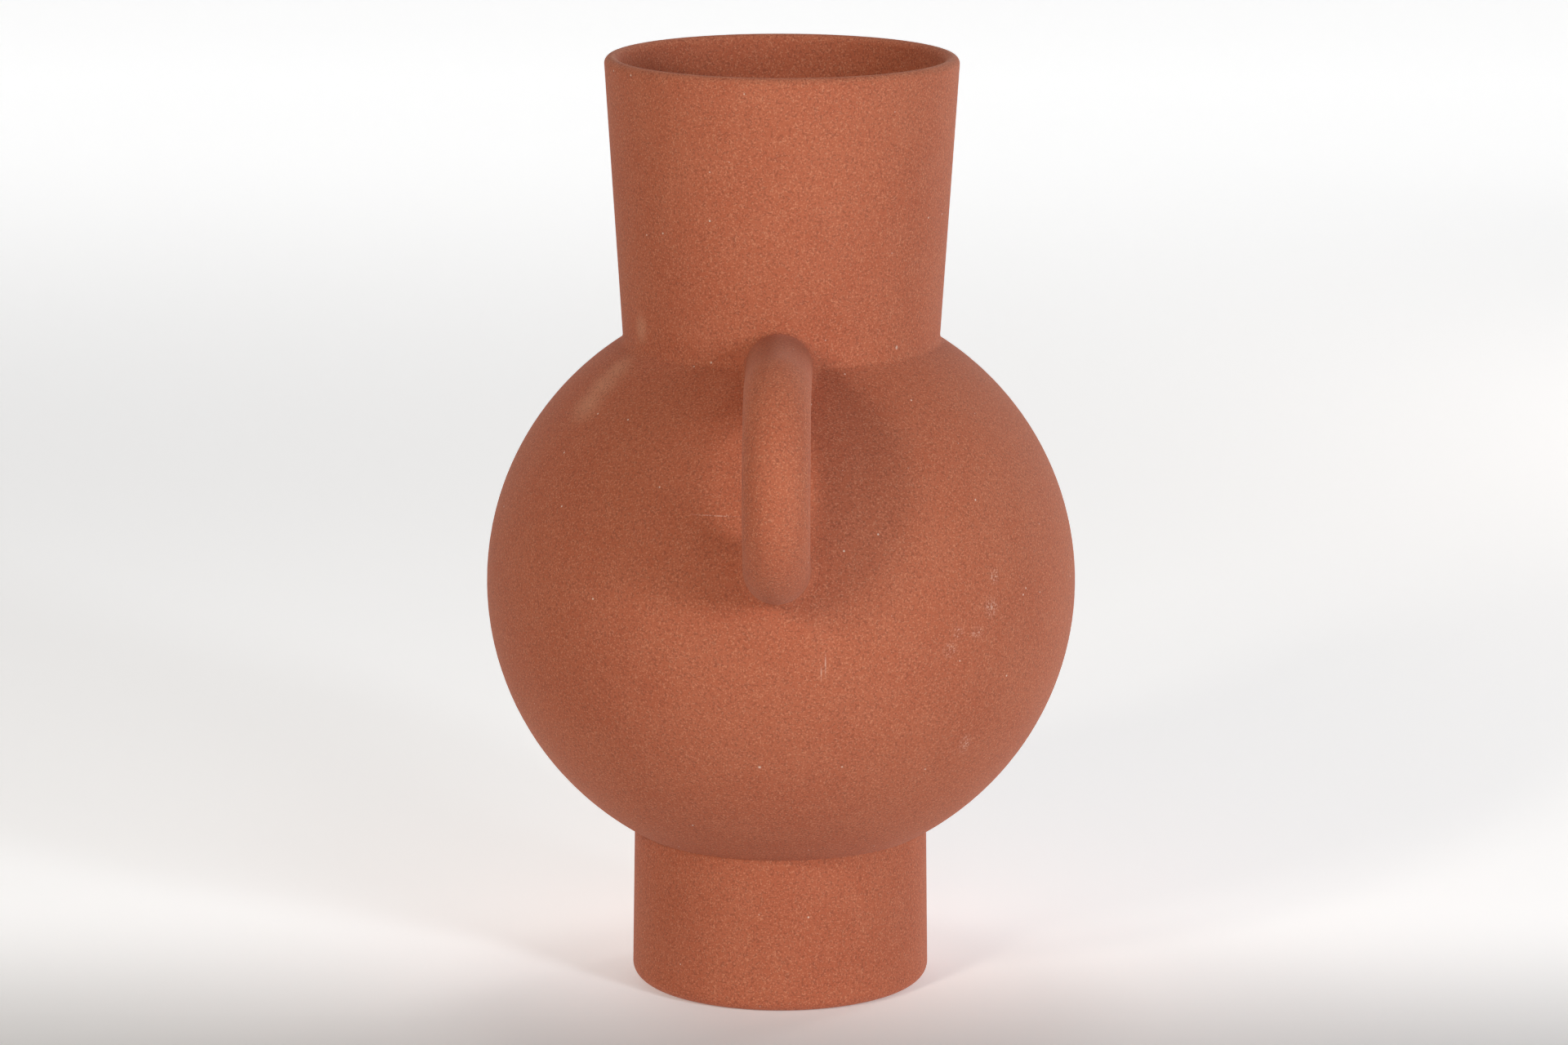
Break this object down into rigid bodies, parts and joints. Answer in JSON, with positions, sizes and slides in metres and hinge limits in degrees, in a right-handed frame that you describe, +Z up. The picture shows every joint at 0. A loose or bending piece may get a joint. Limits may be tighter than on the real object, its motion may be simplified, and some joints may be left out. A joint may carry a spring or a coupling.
{
  "type": "amphora",
  "caption": "Unglazed terracotta amphora: a round belly on a straight foot under a wide flared neck, with round rod handles from the neck's base to the belly.",
  "frame": {"origin": "centre of the foot's resting plane", "axes": "+Z up along the vessel's axis; the handles lie in the YZ plane, the front handle towards -Y and the rear handle towards +Y; +X to the right seen from the front"},
  "size_m": [0.22, 0.304, 0.35],
  "materials": {
    "terracotta": "matte, unglazed and sandy, with fine pale and dark grains"
  },
  "bodies": {
    "root": {"neck": "terracotta", "belly_upper": "terracotta", "belly_lower": "terracotta", "foot_ring": "terracotta", "base_disc": "terracotta", "neck_fillet": "terracotta", "front_handle": "terracotta", "rear_handle": "terracotta"}
  },
  "joints": []
}
